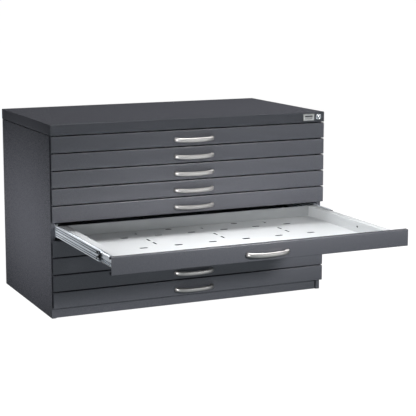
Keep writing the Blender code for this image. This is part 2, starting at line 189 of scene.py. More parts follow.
# Handle: how finely its bow and bar are divided, how square they are, the bar's half height,
# its half depth in the middle and how much is added at the feet, and the droop
BOW_RINGS = 48
BOW_SIDES = 24
BOW_SQUARENESS = 2.6
BAR_SQUARENESS = 2.8
BAR_HALF = 0.0085
BAR_DEEP_HALF = 0.0056
FOOT_SWELL = 0.0020
FOOT_SWELL_POWER = 3
BOW_DROOP = 0.0025
BOW_FOOT_Z = (HANDLE_LOW.z + HANDLE_HIGH.z + BOW_DROOP) / 2

# Screw heads behind the front: radius, height, and their places in x and over the tray floor
SCREW_HEAD = (0.0042, 0.0022)
HANDLE_SCREW_X = 0.0784
FRONT_SCREWS_X = (-0.46, -0.23, 0.23, 0.46)
FRONT_SCREWS_UP = (0.012, 0.045)

# Rivets of the back panel: radius, height, and where their rows lie
RIVET_HEAD = (0.0040, 0.0011)
RIVETS = 6
RIVET_EDGE = 0.010
RIVET_LOWEST = 0.04
RIVET_ROW_X = 0.12
RIVET_ROW_Z = 0.012

# Lock: clearance and chamfer of its bore, barrel, gap under the rosette, and its rim
LOCK_PLAY = 0.0002
LOCK_CHAMFER = 0.0004
BARREL_RADIUS = 0.0088
ROSETTE_GAP = 0.0003
RIM_EDGE = 0.0004
RIM_ROUND = 0.0024
RIM_START = 0.0008
RIM_LOSS = 0.0012
RIM_STEPS = 6
DISH_WIDE = 0.0022
DISH_LEVELS = (0.0002, 0.0010, 0.0014)

# Lock plug: chamfer, how far its face is set back, and the keyway's half width and height
PLUG_CHAMFER = 0.0008
PLUG_EDGE = 0.0010
PLUG_SET_BACK = 0.0004
KEYWAY_HALF = (0.0007, 0.0034)
KEYWAY_Y = (-0.002, 0.004)

# Label holder: border, corner radii of frame, window and card, and depths from its face
LABEL_BORDER = 0.0026
LABEL_CORNERS = (0.0035, 0.0020, 0.0017)
LABEL_BEVEL = 0.0004
WINDOW_Y = (-0.001, 0.0014)
CARD_Y = (0.0009, 0.00135)
CARD_PLAY = 0.0006

# Bar and rules on the label card: height over its middle and half thickness, half length as
# a share of the holder's width, and thickness of the ink
LABEL_RULES = ((0.0045, 0.0030), (-0.0020, 0.0009), (-0.0065, 0.0009))
LABEL_RULE_SHARE = 0.34
INK_HALF = 0.0001


# ---------------------------------------------------------------- materials

# The range that most of a noise's values lie in
NOISE_MIDDLE = (0.3, 0.7)


class Shader:
    """A material with one Principled shader, and a short way to add nodes to it."""

    def __init__(self, name, colour, roughness, metallic=0.0):
        self.material = bpy.data.materials.new(name)
        self.material.use_nodes = True
        self.tree = self.material.node_tree
        self.principled = self.tree.nodes["Principled BSDF"]
        self.set("Base Color", (*colour, 1.0))
        self.set("Roughness", roughness)
        self.set("Metallic", metallic)
        self.place = self.node("ShaderNodeTexCoord").outputs["Object"]

    def node(self, kind, **settings):
        made = self.tree.nodes.new(kind)
        for name, value in settings.items():
            setattr(made, name, value)
        return made

    def link(self, source, target):
        self.tree.links.new(source, target)

    def set(self, socket, value):
        self.principled.inputs[socket].default_value = value

    def noise(self, scale, detail=2.0, stretch=(1.0, 1.0, 1.0), roughness=0.5):
        """Noise in the piece's own metres, drawn out along an axis where stretch is small."""
        mapping = self.node("ShaderNodeMapping")
        mapping.inputs["Scale"].default_value = stretch
        self.link(self.place, mapping.inputs["Vector"])
        texture = self.node("ShaderNodeTexNoise")
        texture.inputs["Scale"].default_value = scale
        texture.inputs["Detail"].default_value = detail
        texture.inputs["Roughness"].default_value = roughness
        self.link(mapping.outputs["Vector"], texture.inputs["Vector"])
        return texture.outputs["Fac"]

    def spread(self, factor, lowest, highest):
        """Map the middle range of a noise onto lowest to highest."""
        ranged = self.node("ShaderNodeMapRange")
        self.link(factor, ranged.inputs["Value"])
        values = (*NOISE_MIDDLE, lowest, highest)
        for socket, value in zip(("From Min", "From Max", "To Min", "To Max"), values):
            ranged.inputs[socket].default_value = value
        return ranged.outputs["Result"]

    def mix(self, factor, first, second):
        """Colour between two colours or colour sockets."""
        mixer = self.node("ShaderNodeMix", data_type="RGBA")
        self.link(factor, mixer.inputs["Factor"])
        for socket, value in ((mixer.inputs[6], first), (mixer.inputs[7], second)):
            if isinstance(value, tuple):
                socket.default_value = (*value, 1.0)
            else:
                self.link(value, socket)
        return mixer.outputs[2]

    def edges(self, radius, gain):
        """1 on the outer folds, 0 on flat faces, from how far a bevelled normal turns."""
        bevel = self.node("ShaderNodeBevel", samples=4)
        bevel.inputs["Radius"].default_value = radius
        geometry = self.node("ShaderNodeNewGeometry")
        dot = self.node("ShaderNodeVectorMath", operation="DOT_PRODUCT")
        self.link(bevel.outputs["Normal"], dot.inputs[0])
        self.link(geometry.outputs["Normal"], dot.inputs[1])
        turned = self.node("ShaderNodeMath", operation="MULTIPLY_ADD", use_clamp=True)
        self.link(dot.outputs["Value"], turned.inputs[0])
        turned.inputs[1].default_value = -gain
        turned.inputs[2].default_value = gain
        return turned.outputs["Value"]

    def colour(self, source):
        self.link(source, self.principled.inputs["Base Color"])

    def gloss(self, factor, lowest, highest):
        """Roughness from a factor's middle range."""
        self.link(self.spread(factor, lowest, highest), self.principled.inputs["Roughness"])

    def bump(self, height, depth, strength):
        """Bump from a height socket, with its depth in metres."""
        made = self.node("ShaderNodeBump")
        made.inputs["Strength"].default_value = strength
        made.inputs["Distance"].default_value = depth
        self.link(height, made.inputs["Height"])
        self.link(made.outputs["Normal"], self.principled.inputs["Normal"])


# Scales of the noise in the finishes: larger is finer
CLOUDS = 3.0
POWDER_GRAIN = 1500.0
POWDER_GLOSS = 420.0
ORANGE_PEEL = 900.0
ROLLING_LINES = 900.0
SPANGLE = 60.0
BRUSHING = 1400.0
SMUDGES = 40.0
HAZE = 180.0
NYLON_GRAIN = 1100.0
NYLON_GLOSS = 80.0
FIBRE = 1600.0

# How much a noise is drawn out along a strip's rolling and a metal's brushing
ROLLED_OUT = 0.03
BRUSHED_OUT = 0.02

# Painted highlight on the folds, for light caught by their rounded edges: the radius it is found
# over, and how fast it comes on with the turn
FOLD_HIGHLIGHT_RADIUS = 0.0012
FOLD_HIGHLIGHT_GAIN = 1.6

# Depths of the bumps
PEEL_DEPTH = 0.00001
ROLLING_DEPTH = 0.00003
BRUSHING_DEPTH = 0.00002
HAZE_DEPTH = 0.00001
NYLON_DEPTH = 0.00005
FIBRE_DEPTH = 0.00004

BLUE_SPANGLE = (0.52, 0.60, 0.72)
BLUE_HAZE = (0.62, 0.66, 0.75)


def shaded(colour, share):
    return tuple(channel * share for channel in colour)


def powder_coat(name, colour, fold_highlight_colour, roughness, variation):
    """Powder coat: orange peel, a slightly uneven tone, and a painted highlight on the folds."""
    shader = Shader(name, colour, roughness)
    pale = shaded(colour, 1 + variation)
    clouds = shader.spread(shader.noise(CLOUDS), 0.0, 1.0)
    tone = shader.mix(clouds, shaded(colour, 1 - variation), pale)
    grain = shader.spread(shader.noise(POWDER_GRAIN, detail=1.0), 0.0, 0.35)
    speckled = shader.mix(grain, tone, pale)
    # The lighter colour on the outer folds is a painted highlight: light caught by the rounded edges.
    fold_highlight = shader.mix(shader.edges(FOLD_HIGHLIGHT_RADIUS, FOLD_HIGHLIGHT_GAIN), speckled, fold_highlight_colour)
    shader.colour(fold_highlight)
    shader.gloss(shader.noise(POWDER_GLOSS), roughness - 0.012, roughness + 0.015)
    shader.bump(shader.noise(ORANGE_PEEL, detail=1.0), PEEL_DEPTH, 0.1)
    return shader.material


def rolled_zinc(name, colour, roughness, along, metallic=1.0):
    """Zinc-plated strip with fine rolling lines along one axis and faint spangle."""
    stretch = [ROLLED_OUT if axis == along else 1.0 for axis in "XYZ"]
    shader = Shader(name, colour, roughness, metallic)
    lines = shader.noise(ROLLING_LINES, detail=3.0, stretch=stretch, roughness=0.6)
    spangle = shader.noise(SPANGLE)
    tone = shader.mix(shader.spread(lines, 0.0, 0.7), colour, shaded(colour, 0.82))
    shader.colour(shader.mix(shader.spread(spangle, 0.0, 0.25), tone, BLUE_SPANGLE))
    shader.gloss(lines, roughness - 0.07, roughness + 0.12)
    shader.bump(lines, ROLLING_DEPTH, 0.4)
    return shader.material


def satin_metal(name, colour, roughness):
    """Satin-finished metal, brushed along X."""
    shader = Shader(name, colour, roughness, metallic=1.0)
    brushed = shader.noise(BRUSHING, detail=3.0, stretch=(BRUSHED_OUT, 1.0, 1.0), roughness=0.6)
    smudges = shader.noise(SMUDGES, detail=3.0)
    shader.colour(shader.mix(shader.spread(brushed, 0.0, 0.6), colour, shaded(colour, 0.9)))
    shader.gloss(smudges, roughness - 0.04, roughness + 0.06)
    shader.bump(brushed, BRUSHING_DEPTH, 0.35)
    return shader.material


def polished_metal(name, colour, roughness):
    """Chrome with a faint bluish haze."""
    shader = Shader(name, colour, roughness, metallic=1.0)
    haze = shader.noise(HAZE, detail=3.0)
    shader.gloss(haze, roughness * 0.7, roughness * 1.6)
    shader.colour(shader.mix(shader.spread(haze, 0.0, 0.3), colour, BLUE_HAZE))
    shader.bump(haze, HAZE_DEPTH, 0.2)
    return shader.material


def moulded_plastic(name, colour, roughness):
    """Nylon with a fine moulded grain."""
    shader = Shader(name, colour, roughness)
    grain = shader.noise(NYLON_GRAIN)
    shader.colour(shader.mix(shader.spread(grain, 0.0, 0.5), colour, shaded(colour, 1.6)))
    shader.gloss(shader.noise(NYLON_GLOSS), roughness - 0.06, roughness + 0.06)
    shader.bump(grain, NYLON_DEPTH, 0.5)
    return shader.material


def paper(name, colour):
    """Card stock with visible fibre."""
    shader = Shader(name, colour, 0.8)
    fibre = shader.noise(FIBRE, detail=5.0, stretch=(0.4, 1.0, 1.0))
    shader.colour(shader.mix(shader.spread(fibre, 0.0, 1.0), colour, shaded(colour, 0.9)))
    shader.gloss(fibre, 0.72, 0.88)
    shader.bump(fibre, FIBRE_DEPTH, 0.4)
    return shader.material


# The second colour of each coat is the painted highlight on its folds.
GRAPHITE = powder_coat("graphite_coat", (0.112, 0.114, 0.132), (0.19, 0.197, 0.218), 0.27, 0.02)
LIGHT_GREY = powder_coat("light_grey_coat", (0.57, 0.585, 0.595), (0.66, 0.67, 0.68), 0.30, 0.01)
ZINC = rolled_zinc("zinc_strip", (0.80, 0.84, 0.88), 0.38, "Y", metallic=0.35)
# Dark colour of the slide grooves: painted shade where the grooves fall in shadow.
GROOVE_SHADE = rolled_zinc("greased_race", (0.12, 0.13, 0.15), 0.34, "Y", metallic=0.35)
ZINC_UPRIGHT = rolled_zinc("zinc_upright", (0.50, 0.53, 0.56), 0.42, "Z")
SATIN = satin_metal("satin_nickel_finish", (0.50, 0.485, 0.475), 0.44)
LABEL_METAL = satin_metal("label_frame_finish", (0.40, 0.40, 0.40), 0.40)
CHROME = polished_metal("chrome_finish", (0.84, 0.85, 0.88), 0.10)
# Black nylon of the slide stops, and the painted shade in the tray's wall holes and rear slots.
NYLON_AND_SHADE_BLACK = moulded_plastic("black_nylon", (0.012, 0.012, 0.014), 0.45)
CARD = paper("label_card", (0.80, 0.80, 0.79))
CARD_INK = paper("label_rule_ink", (0.05, 0.05, 0.055))


# ---------------------------------------------------------------- mesh helpers

def mesh_of(mesh_tool, name):
    """A mesh from a bmesh, which is freed."""
    bmesh.ops.recalc_face_normals(mesh_tool, faces=mesh_tool.faces)
    mesh = bpy.data.meshes.new(name)
    mesh_tool.to_mesh(mesh)
    mesh_tool.free()
    return mesh


def show(name, mesh, material, body, stands_for=(), shift=(0, 0, 0), smooth=40.0):
    """Make a visible piece that rides on a body, shaded smooth over turns of under smooth degrees."""
    piece = bpy.data.objects.new(name, mesh)
    piece.location = shift
    bpy.context.scene.collection.objects.link(piece)
    if not mesh.materials:
        mesh.materials.append(material)
    mesh.shade_smooth()
    mesh.set_sharp_from_angle(angle=math.radians(smooth))
    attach(piece, body)
    if stands_for:
        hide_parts(*stands_for)


def add_box(mesh_tool, low_corner, high_corner):
    low_corner, high_corner = Vector(low_corner), Vector(high_corner)
    made = bmesh.ops.create_cube(mesh_tool, size=1.0)["verts"]
    bmesh.ops.scale(mesh_tool, vec=high_corner - low_corner, verts=made)
    bmesh.ops.translate(mesh_tool, vec=(low_corner + high_corner) / 2, verts=made)
    return made


# The most of each side of a corner that its arc may take
ARC_SHARE = 0.49


def rounded_path(points, radius, steps=4, closed=False):
    """A polyline in a plane with each corner replaced by an arc."""
    points = [Vector(point) for point in points]
    made = [] if closed else [points[0]]
    count = len(points)
    for index in range(count) if closed else range(1, count - 1):
        corner = points[index]
        before = points[index - 1] - corner
        after = points[(index + 1) % count] - corner
        turn = before.angle(after)
        reach = radius / math.tan(turn / 2)
        reach = min(reach, before.length * ARC_SHARE, after.length * ARC_SHARE)
        start = corner + before.normalized() * reach
        end = corner + after.normalized() * reach
        centre_way = (before.normalized() + after.normalized()).normalized()
        bend = reach * math.tan(turn / 2)
        centre = corner + centre_way * (bend / math.sin(turn / 2))
        for step in range(steps + 1):
            way = (start - centre).slerp(end - centre, step / steps)
            made.append(centre + bend * way)
    if not closed:
        made.append(points[-1])
    return made


def swept_sheet(points, start, end, thickness, along_x=False):
    """A closed strip of sheet: a flat path run from start to end along Y, or along X."""
    mesh_tool = bmesh.new()
    if along_x:
        path = [Vector((start, y, z)) for y, z in points]
        way = Vector((end - start, 0, 0))
    else:
        path = [Vector((x, start, z)) for x, z in points]
        way = Vector((0, end - start, 0))
    verts = [mesh_tool.verts.new(point) for point in path]
    edges = [mesh_tool.edges.new(pair) for pair in zip(verts, verts[1:])]
    grown = bmesh.ops.extrude_edge_only(mesh_tool, edges=edges)["geom"]
    moved = [part for part in grown if isinstance(part, bmesh.types.BMVert)]
    bmesh.ops.translate(mesh_tool, vec=way, verts=moved)
    return thickened(mesh_tool, thickness)


def thickened(mesh_tool, thickness):
    """Turn an open surface into a closed sheet of even thickness."""
    bmesh.ops.recalc_face_normals(mesh_tool, faces=mesh_tool.faces)
    holder = bpy.data.objects.new("sheet", mesh_of(mesh_tool, "sheet"))
    bpy.context.scene.collection.objects.link(holder)
    shell = holder.modifiers.new("sheet", "SOLIDIFY")
    shell.thickness = thickness
    shell.offset = 0.0
    shell.use_even_offset = True
    return settled(holder)


def settled(holder):
    """The holder's mesh with its modifiers worked in. The holder goes."""
    bpy.context.view_layer.update()
    depsgraph = bpy.context.evaluated_depsgraph_get()
    mesh = bpy.data.meshes.new_from_object(holder.evaluated_get(depsgraph))
    bpy.data.objects.remove(holder, do_unlink=True)
    return mesh


def joined(name, meshes):
    """One mesh of several, each still its own shell."""
    mesh_tool = bmesh.new()
    for mesh in meshes:
        mesh_tool.from_mesh(mesh)
    return mesh_of(mesh_tool, name)


def cut(mesh, tool_mesh):
    """Subtract a closed mesh from another."""
    holder = bpy.data.objects.new("cut", mesh)
    tool = bpy.data.objects.new("tool", tool_mesh)
    for item in (holder, tool):
        bpy.context.scene.collection.objects.link(item)
    step = holder.modifiers.new("cut", "BOOLEAN")
    step.operation = "DIFFERENCE"
    step.solver = "EXACT"
    step.object = tool
    made = settled(holder)
    bpy.data.objects.remove(tool, do_unlink=True)
    return made


def bevelled(mesh, width, segments):
    """A mesh with its sharp edges rounded."""
    holder = bpy.data.objects.new("bevel", mesh)
    bpy.context.scene.collection.objects.link(holder)
    bevel = holder.modifiers.new("bevel", "BEVEL")
    bevel.width = width
    bevel.segments = segments
    bevel.limit_method = "ANGLE"
    bevel.angle_limit = math.radians(30.0)
    return settled(holder)


def slot_prism(mesh_tool, centre, size, depth, along_x=True):
    """Add an upright prism with round ends: the cutter for one slot."""
    length, width = size
    radius = width / 2
    outline = []
    for side in (1, -1):
        for step in range(SLOT_END_STEPS + 1):
            angle = -math.pi / 2 + math.pi * step / SLOT_END_STEPS
            along = side * (length / 2 - radius + radius * math.cos(angle))
            outline.append((along, side * radius * math.sin(angle)))
    verts = []
    for along, across in outline:
        offset = (along, across) if along_x else (-across, along)
        place = (centre[0] + offset[0], centre[1] + offset[1], centre[2] - depth / 2)
        verts.append(mesh_tool.verts.new(place))
    face = mesh_tool.faces.new(verts)
    grown = bmesh.ops.extrude_face_region(mesh_tool, geom=[face])["geom"]
    moved = [part for part in grown if isinstance(part, bmesh.types.BMVert)]
    bmesh.ops.translate(mesh_tool, vec=(0, 0, depth), verts=moved)


def turned(profile, place, steps):
    """A turned solid from (radius, height) points, about the local Z axis of a matrix."""
    mesh_tool = bmesh.new()
    rings = []
    for radius, height in profile:
        if radius == 0.0:
            rings.append([mesh_tool.verts.new((0, 0, height))])
            continue
        ring = []
        for step in range(steps):
            angle = 2 * math.pi * step / steps
            place_on_ring = (radius * math.cos(angle), radius * math.sin(angle), height)
            ring.append(mesh_tool.verts.new(place_on_ring))
        rings.append(ring)
    for first, second in zip(rings, rings[1:]):
        for step in range(steps):
            following = (step + 1) % steps
            corners = [first[step % len(first)], first[following % len(first)],
                       second[following % len(second)], second[step % len(second)]]
            mesh_tool.faces.new(list(dict.fromkeys(corners)))
    bmesh.ops.transform(mesh_tool, matrix=place, verts=mesh_tool.verts)
    return mesh_of(mesh_tool, "turned")


DOME_RIM = 0.25
DOME_STEPS = 4


def facing(direction, position):
    """A matrix whose Z axis looks along direction from position."""
    turn = Vector(direction).to_track_quat("Z", "Y").to_matrix().to_4x4()
    return Matrix.Translation(position) @ turn


def dome(position, direction, radius, height):
    """A round rivet or screw head, with a straight rim up to a share of its height."""
    profile = [(0.0, 0.0), (radius, 0.0), (radius, height * DOME_RIM)]
    for step in range(1, DOME_STEPS):
        angle = math.pi / 2 * step / DOME_STEPS
        rise = DOME_RIM + (1 - DOME_RIM) * math.sin(angle)
        profile.append((radius * math.cos(angle), height * rise))
    profile.append((0.0, height))
    return turned(profile, facing(direction, position), steps=16)


# ---------------------------------------------------------------- drawers

def front_mesh():
    """Drawer front: a channel with top and bottom flanges, each with a hem at the back."""
    inset = FRONT_SHEET / 2
    face, back = FRONT_LOW.y + inset, FRONT_HIGH.y - inset
    bottom, top = FRONT_LOW.z + inset, FRONT_HIGH.z - inset
    section = [(back, top - HEM), (back, top), (face, top), (face, bottom), (back, bottom),
               (back, bottom + HEM)]
    path = rounded_path(section, FRONT_FOLD)
    return swept_sheet(path, FRONT_LOW.x, FRONT_HIGH.x, FRONT_SHEET, along_x=True)


def slot_cutters():
    """Divider slots in the tray floor, on one grid of columns."""
    mesh_tool = bmesh.new()
    for y in ROWS_ALONG_X:
        for column in COLUMNS_ALONG_X:
            x = SLOT_OFFSET + SLOT_COLUMN * column
            slot_prism(mesh_tool, (x, y, FLOOR_Z), SLOT_ALONG_X, SLOT_CUT_DEPTH)
    for x in BACK_SLOTS:
        slot_prism(mesh_tool, (x, BACK_ROW, FLOOR_Z), BACK_SLOT, SLOT_CUT_DEPTH)
    for y in ROWS_ALONG_Y:
        for column in COLUMNS_ALONG_Y:
            x = SLOT_OFFSET + SLOT_COLUMN * column
            slot_prism(
                mesh_tool, (x, y, FLOOR_Z), SLOT_ALONG_Y, SLOT_CUT_DEPTH, along_x=False)
    return mesh_of(mesh_tool, "slots")


def wall_holes(radius, depth):
    """One round hole, or the plug in it, in each side wall of the tray."""
    mesh_tool = bmesh.new()
    y = TRAY_HIGH.y - (TRAY_HIGH.y - TRAY_LOW.y) * WALL_HOLE_DEPTH
    for sign in SIDES.values():
        place = facing((1, 0, 0), (sign * WALL_X, y, FLOOR_Z + WALL_HOLE_HEIGHT))
        place = place @ Matrix.Diagonal((WALL_HOLE_STRETCH, 1.0, 1.0, 1.0))
        bmesh.ops.create_cone(
            mesh_tool, cap_ends=True, segments=20, radius1=radius, radius2=radius,
            depth=depth, matrix=place)
    return mesh_of(mesh_tool, "holes")


def hole_shades_mesh():
    """Dark discs in the holes of the tray's side walls, a little behind their faces: painted shade
    seen through the holes.
    """
    mesh = wall_holes(WALL_HOLE_RADIUS - HOLE_SHADE_PLAY, HOLE_SHADE_DEPTH)
    for vertex in mesh.vertices:
        vertex.co.x += math.copysign(HOLE_SHADE_BACK, vertex.co.x)
    return mesh


def slot_shades_mesh():
    """Dark sheets flush with the floor in the two slots next to the tray's rear wall: painted shade
    seen through the slots.
    """
    mesh_tool = bmesh.new()
    for x in BACK_SLOTS:
        slot_prism(
            mesh_tool, (x, BACK_ROW, FLOOR_Z - SLOT_SHADE_DROP), SLOT_SHADE, SLOT_SHADE_SHEET)
    return mesh_of(mesh_tool, "slot_plugs")


def tray_mesh():
    """Tray: floor, walls, rim flanges and lips folded from one sheet, with ends set in."""
    section = [
        (LIP_X, LIP_END_Z), (LIP_X, RIM_Z), (WALL_X, RIM_Z), (WALL_X, FLOOR_Z),
        (-WALL_X, FLOOR_Z), (-WALL_X, RIM_Z), (-LIP_X, RIM_Z), (-LIP_X, LIP_END_Z),
    ]
    start, end = TRAY_LOW.y + TRAY_START, TRAY_HIGH.y - TRAY_END
    body = swept_sheet(rounded_path(section, TRAY_FOLD), start, end, TRAY_SHEET)
    body = cut(body, slot_cutters())
    body = cut(body, wall_holes(WALL_HOLE_RADIUS, WALL_CUT_DEPTH))
    return joined("tray", [body, tray_ends(end)])


def tray_ends(end):
    """The tray's rear wall and flange, near where its sheet ends, and its front plate."""
    mesh_tool = bmesh.new()
    inner = WALL_X - TRAY_SHEET / 2 + END_OVERLAP
    under, over = (RIM_Z + level for level in REAR_FLANGE_Z)
    add_box(mesh_tool, (-inner, end + REAR_WALL_Y[0], FLOOR_Z),
            (inner, end + REAR_WALL_Y[1], over))
    add_box(mesh_tool, (-inner, end + REAR_FLANGE_Y[0], under),
            (inner, end + REAR_FLANGE_Y[1], over))
    add_box(mesh_tool, (-LIP_X, TRAY_LOW.y, TRAY_LOW.z),
            (LIP_X, TRAY_LOW.y + PLATE_SHEET, TRAY_HIGH.z))
    return bevelled(mesh_of(mesh_tool, "ends"), END_BEVEL, segments=1)


def channel(web_x, lip_x, half, sheet, grooves, groove_depth):
    """Section of a slide channel about SLIDE_Z, with V grooves along its web."""
    way = math.copysign(1.0, lip_x - web_x)
    edge = half - sheet / 2
    section = [(lip_x, -edge + LIP_TURN), (lip_x, -edge), (web_x, -edge)]
    for middle in grooves:
        section += [(web_x, middle - GROOVE_HALF), (web_x + way * groove_depth, middle),
                    (web_x, middle + GROOVE_HALF)]
    section += [(web_x, edge), (lip_x, edge), (lip_x, edge - LIP_TURN)]
    return [(x, SLIDE_Z + z) for x, z in section]


def shade_grooves(mesh, grooves):
    """Paint the faces of the grooves along a slide channel dark: painted shade in the grooves."""
    mesh.materials.append(ZINC)
    mesh.materials.append(GROOVE_SHADE)
    for face in mesh.polygons:
        level = face.center.z - SLIDE_Z
        if any(abs(level - middle) < GROOVE_HALF + GROOVE_SHADE_EDGE for middle in grooves):
            face.material_index = 1
    return mesh


def member_mesh():
    """Slide member screwed to the right side of the tray, with a groove beside each lip."""
    section = channel(MEMBER_WEB_X, MEMBER_LIP_X, MEMBER_HALF, MEMBER_SHEET,
                      MEMBER_GROOVES, MEMBER_GROOVE_DEPTH)
    path = rounded_path(section, SLIDE_FOLD, steps=3)
    start, end = TRAY_LOW.y + MEMBER_START, TRAY_HIGH.y - MEMBER_END
    return shade_grooves(swept_sheet(path, start, end, MEMBER_SHEET), MEMBER_GROOVES)


def float_mesh():
    """Floating channel on the right: ball grooves along its web, and access holes."""
    section = channel(FLOAT_WEB_X, FLOAT_LIP_X, FLOAT_HALF, SLIDE_SHEET,
                      FLOAT_GROOVES, FLOAT_GROOVE_DEPTH)
    path = rounded_path(section, SLIDE_FOLD, steps=3)
    strip = swept_sheet(path, FLOAT_LOW.y, FLOAT_HIGH.y, SLIDE_SHEET)
    mesh_tool = bmesh.new()
    for y, radius, stretch in FLOAT_HOLES:
        place = facing((1, 0, 0), (FLOAT_WEB_X, FLOAT_LOW.y + y, FLOAT_HOLE_Z))
        place = place @ Matrix.Diagonal((1.0, stretch, 1.0, 1.0))
        bmesh.ops.create_cone(
            mesh_tool, cap_ends=True, segments=16, radius1=radius, radius2=radius,
            depth=FLOAT_CUT_DEPTH, matrix=place)
    return shade_grooves(cut(strip, mesh_of(mesh_tool, "holes")), FLOAT_GROOVES)


def stop_mesh():
    """Nylon latch folded back and forth across the front end of the right floating channel."""
    mesh_tool = bmesh.new()
    outer = FLOAT_HIGH.x + LATCH_PROUD
    inner = outer - LATCH_THICK
    for start, end in zip(LATCH_PATH, LATCH_PATH[1:]):
        add_bar(mesh_tool, start, end, inner, outer)
    add_bar(mesh_tool, LATCH_PATH[-2], LATCH_TONGUE, inner, outer)
    return mesh_of(mesh_tool, "stop")


def add_bar(mesh_tool, start, end, inner, outer):
    """Add a straight bar between two (y, z) points counted from the channel's front end."""
    start = Vector((0.0, FLOAT_LOW.y + start[0], SLIDE_Z + start[1]))
    end = Vector((0.0, FLOAT_LOW.y + end[0], SLIDE_Z + end[1]))
    length = (end - start).length + 2 * LATCH_HALF
    tilt = math.atan2(end.z - start.z, end.y - start.y)
    half_depth = (outer - inner) / 2
    made = add_box(
        mesh_tool, (-half_depth, -length / 2, -LATCH_HALF), (half_depth, length / 2, LATCH_HALF))
    middle = (start + end) / 2 + Vector(((inner + outer) / 2, 0.0, 0.0))
    place = Matrix.Translation(middle) @ Matrix.Rotation(tilt, 4, "X")
    bmesh.ops.transform(mesh_tool, matrix=place, verts=made)


def mirrored_mesh(mesh):
    """The left-hand copy of a right-hand mesh."""
    made = mesh.copy()
    made.transform(Matrix.Diagonal((-1, 1, 1, 1)))
    made.flip_normals()
    return made


def squared(value, squareness):
    """A cosine or sine bent so that a circle becomes a rounded square."""
    return math.copysign(abs(value) ** (2 / squareness), value)


def bow_rings():
    """Middle and half depth of the handle's bar at each ring, from its right foot to its left."""
    half = (HANDLE_HIGH.x - HANDLE_LOW.x) / 2 - BAR_HALF
    foot = HANDLE_HIGH.y
    reach = foot - HANDLE_LOW.y
    rings = []
    for ring in range(BOW_RINGS + 1):
        angle = math.pi * ring / BOW_RINGS
        along, out = math.cos(angle), max(math.sin(angle), 0.0)
        deep_half = BAR_DEEP_HALF + FOOT_SWELL * abs(along) ** FOOT_SWELL_POWER
        across = squared(along, BOW_SQUARENESS)
        middle = Vector((
            half * across, foot - (reach - deep_half) * squared(out, BOW_SQUARENESS),
            BOW_FOOT_Z - BOW_DROOP * (1 - across ** 2)))
        rings.append((middle, deep_half))
    return rings


def bow_tangent(rings, index):
    """Way of the bar at one ring: straight out from the front at its feet."""
    if index in (0, BOW_RINGS):
        return Vector((0, -1 if index == 0 else 1, 0))
    return (rings[index + 1][0] - rings[index - 1][0]).normalized()


def bar_loop(mesh_tool, middle, tangent, deep_half):
    """The vertices of the bar's rounded section about one ring's middle."""
    side = tangent.cross(Vector((0, 0, 1))).normalized()
    loop = []
    for step in range(BOW_SIDES):
        turn = 2 * math.pi * step / BOW_SIDES
        across = squared(math.cos(turn), BAR_SQUARENESS)
        upward = squared(math.sin(turn), BAR_SQUARENESS)
        offset = side * (deep_half * across) + Vector((0, 0, BAR_HALF * upward))
        loop.append(mesh_tool.verts.new(middle + offset))
    return loop


def handle_mesh():
    """Bow handle: a rounded bar swept round a squarish, drooping bow, fuller at its feet."""
    mesh_tool = bmesh.new()
    rings = bow_rings()
    loops = [bar_loop(mesh_tool, middle, bow_tangent(rings, index), deep_half)
             for index, (middle, deep_half) in enumerate(rings)]
    for first, second in zip(loops, loops[1:]):
        for step in range(BOW_SIDES):
            following = (step + 1) % BOW_SIDES
            mesh_tool.faces.new((first[step], first[following], second[following], second[step]))
    mesh_tool.faces.new(loops[0])
    mesh_tool.faces.new(loops[-1])
    return mesh_of(mesh_tool, "handle")


def screws_mesh():
    """Screw heads on the inner side of the tray's front plate."""
    y = TRAY_LOW.y + PLATE_SHEET
    heads = [(sign * HANDLE_SCREW_X, BOW_FOOT_Z) for sign in SIDES.values()]
    heads += [(x, FLOOR_Z + up) for x in FRONT_SCREWS_X for up in FRONT_SCREWS_UP]
    return joined("screws", [dome((x, y, z), (0, 1, 0), *SCREW_HEAD) for x, z in heads])


def between(node, first_node):
    """How far a node lies from drawer 1's node."""
    return low(node) - low(first_node)


def build_drawers():
    front, tray, handle = front_mesh(), tray_mesh(), handle_mesh()
    screws, hole_shades, slot_plugs = screws_mesh(), hole_shades_mesh(), slot_shades_mesh()
    right = {"member": member_mesh(), "float": float_mesh(), "stop": stop_mesh()}
    slides = {"right": right, "left": {key: mirrored_mesh(mesh) for key, mesh in right.items()}}
    for label in LABELS:
        body = "drawer_" + label
        shift = between("drawer_front_" + label, "drawer_front_01")
        show("front_panel_" + label, front, GRAPHITE, body, ["drawer_front_" + label],
             shift)
        show("tray_sheet_" + label, tray, LIGHT_GREY, body, ["drawer_tray_" + label],
             shift, smooth=30.0)
        show("bow_handle_" + label, handle, SATIN, body, ["handle_" + label],
             shift, smooth=60.0)
        show("front_screws_" + label, screws, ZINC, body, (), shift)
        # Dark pieces in the wall holes and rear slots: painted shade.
        show("wall_plugs_" + label, hole_shades, NYLON_AND_SHADE_BLACK, body, (), shift)
        show("slot_plugs_" + label, slot_plugs, NYLON_AND_SHADE_BLACK, body, (), shift)
        for side, meshes in slides.items():
            node = f"slide_{side}_{label}"
            drawn = between(node, f"slide_{side}_01")
            show(f"slide_member_{side}_{label}", meshes["member"], ZINC, body, (),
                 shift)
            show(f"slide_channel_{side}_{label}", meshes["float"], ZINC, node, [node],
                 drawn)
            show(f"slide_stop_{side}_{label}", meshes["stop"], NYLON_AND_SHADE_BLACK, node, (), drawn)


# ---------------------------------------------------------------- cabinet fittings

